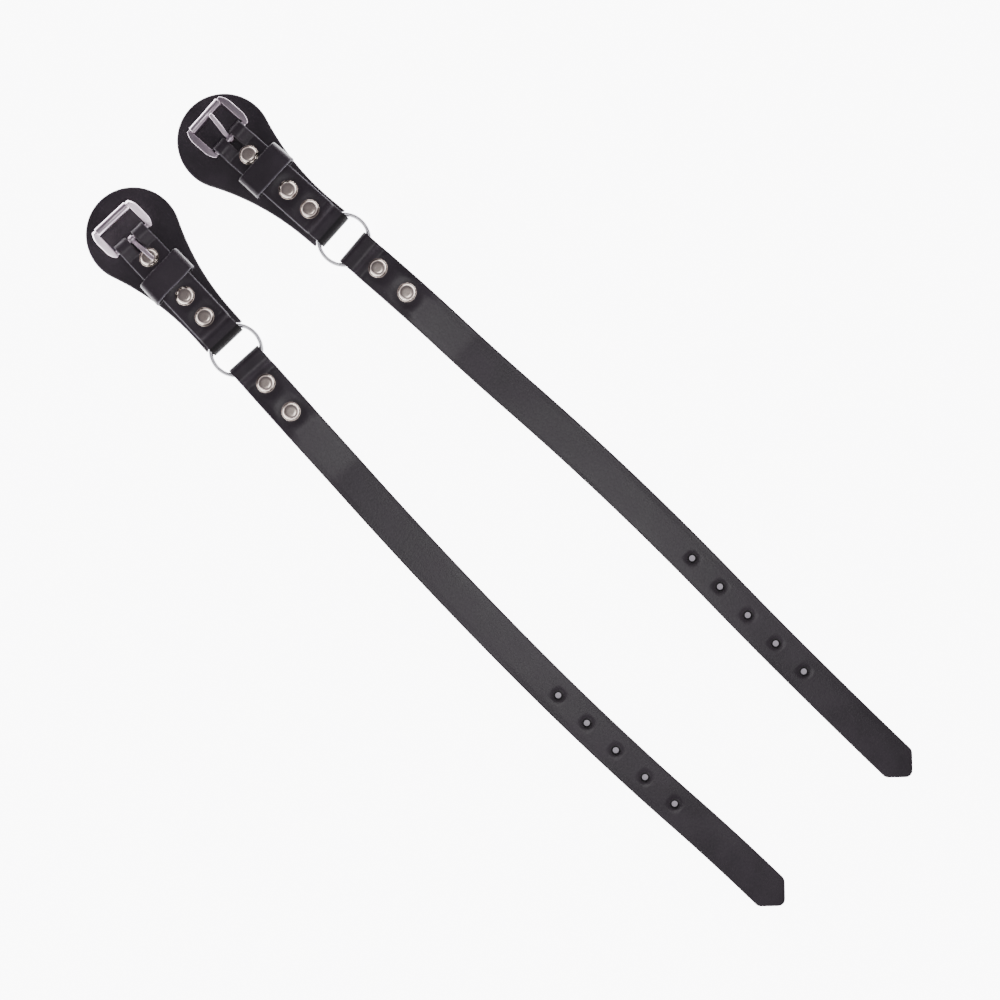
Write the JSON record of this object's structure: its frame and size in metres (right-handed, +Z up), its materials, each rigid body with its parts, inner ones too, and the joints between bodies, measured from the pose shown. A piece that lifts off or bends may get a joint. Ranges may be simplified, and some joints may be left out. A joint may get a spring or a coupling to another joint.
{
  "type": "leather buckle strap pair",
  "caption": "Pair of black leather buckle straps, each a teardrop pad and roller buckle joined by a wire ring to a long punched strap.",
  "frame": {"origin": "centre of the bottom of the pair's bounding box, on the surface it lies on", "axes": "+X along the straps from the pads to the tips, +Y from the left strap to the right strap, +Z up"},
  "size_m": [0.4834, 0.1152, 0.0197],
  "materials": {
    "strap_leather": "smooth semi-gloss",
    "pad_leather": "smooth satin",
    "buckle_nickel": "nickel plated, softly polished",
    "ring_chrome": "bright plated",
    "rivet_nickel": "nickel plated, polished"
  },
  "bodies": {
    "left_head": {"left_pad": "pad_leather", "left_buckle_strap": "strap_leather", "left_tongue_rivet_cap": "rivet_nickel", "left_keeper_rivet_cap": "rivet_nickel", "left_ring_rivet_cap": "rivet_nickel", "left_head_rivet_bases": "rivet_nickel"},
    "left_keeper": {"left_keeper": "strap_leather"},
    "left_buckle_frame": {"left_buckle_frame": "buckle_nickel"},
    "left_roller": {"left_roller": "buckle_nickel"},
    "left_tongue": {"left_tongue": "buckle_nickel"},
    "left_ring": {"left_ring": "ring_chrome"},
    "left_long_strap": {"left_long_strap": "strap_leather", "left_strap_inner_rivet_cap": "rivet_nickel", "left_strap_outer_rivet_cap": "rivet_nickel", "left_strap_rivet_bases": "rivet_nickel"},
    "right_head": {"right_pad": "pad_leather", "right_buckle_strap": "strap_leather", "right_tongue_rivet_cap": "rivet_nickel", "right_keeper_rivet_cap": "rivet_nickel", "right_ring_rivet_cap": "rivet_nickel", "right_head_rivet_bases": "rivet_nickel"},
    "right_keeper": {"right_keeper": "strap_leather"},
    "right_buckle_frame": {"right_buckle_frame": "buckle_nickel"},
    "right_roller": {"right_roller": "buckle_nickel"},
    "right_tongue": {"right_tongue": "buckle_nickel"},
    "right_ring": {"right_ring": "ring_chrome"},
    "right_long_strap": {"right_long_strap": "strap_leather", "right_strap_inner_rivet_cap": "rivet_nickel", "right_strap_outer_rivet_cap": "rivet_nickel", "right_strap_rivet_bases": "rivet_nickel"}
  },
  "joints": [
    {"name": "left_keeper_slide", "type": "slide", "parent": "left_head", "child": "left_keeper", "axis": [0.9995, -0.0332, 0], "range_m": [-0.0024, 0.0007]},
    {"name": "left_frame_fold", "type": "hinge", "parent": "left_head", "child": "left_buckle_frame", "pos_m": [-0.21546, -0.03605, 0.006], "axis": [0.0332, 0.9995, 0], "range_deg": [-45, 0]},
    {"name": "left_roller_spin", "type": "hinge", "parent": "left_buckle_frame", "child": "left_roller", "pos_m": [-0.22705, -0.03567, 0.0176], "axis": [0.0332, 0.9995, 0], "continuous": true},
    {"name": "left_tongue_swing", "type": "hinge", "parent": "left_buckle_frame", "child": "left_tongue", "pos_m": [-0.21546, -0.03605, 0.006], "axis": [0.0332, 0.9995, 0], "range_deg": [-100.5, 0]},
    {"name": "left_ring_tilt", "type": "hinge", "parent": "left_head", "child": "left_ring", "pos_m": [-0.15119, -0.03818, 0.0061], "axis": [-0.0332, -0.9995, 0], "range_deg": [-14, 25]},
    {"name": "left_strap_tilt", "type": "hinge", "parent": "left_ring", "child": "left_long_strap", "pos_m": [-0.13081, -0.03907, 0.0041], "axis": [-0.0541, -0.9985, 0], "range_deg": [-25, 14]},
    {"name": "right_strap_lift", "type": "slide", "parent": "left_head", "child": "right_head", "axis": [0, 0, 1], "range_m": [0, 0.15]},
    {"name": "right_keeper_slide", "type": "slide", "parent": "right_head", "child": "right_keeper", "axis": [0.9982, 0.0593, 0], "range_m": [-0.0011, 0.0027]},
    {"name": "right_frame_fold", "type": "hinge", "parent": "right_head", "child": "right_buckle_frame", "pos_m": [-0.21637, 0.03286, 0.006], "axis": [-0.0593, 0.9982, 0], "range_deg": [0, 75]},
    {"name": "right_roller_spin", "type": "hinge", "parent": "right_buckle_frame", "child": "right_roller", "pos_m": [-0.23274, 0.03189, 0.006], "axis": [-0.0593, 0.9982, 0], "continuous": true},
    {"name": "right_tongue_swing", "type": "hinge", "parent": "right_buckle_frame", "child": "right_tongue", "pos_m": [-0.21637, 0.03286, 0.006], "axis": [-0.0593, 0.9982, 0], "range_deg": [-24, 46]},
    {"name": "right_ring_tilt", "type": "hinge", "parent": "right_head", "child": "right_ring", "pos_m": [-0.15218, 0.03667, 0.0061], "axis": [0.0593, -0.9982, 0], "range_deg": [-14, 25]},
    {"name": "right_strap_tilt", "type": "hinge", "parent": "right_ring", "child": "right_long_strap", "pos_m": [-0.13184, 0.03817, 0.0041], "axis": [0.0872, -0.9962, 0], "range_deg": [-25, 14]}
  ]
}
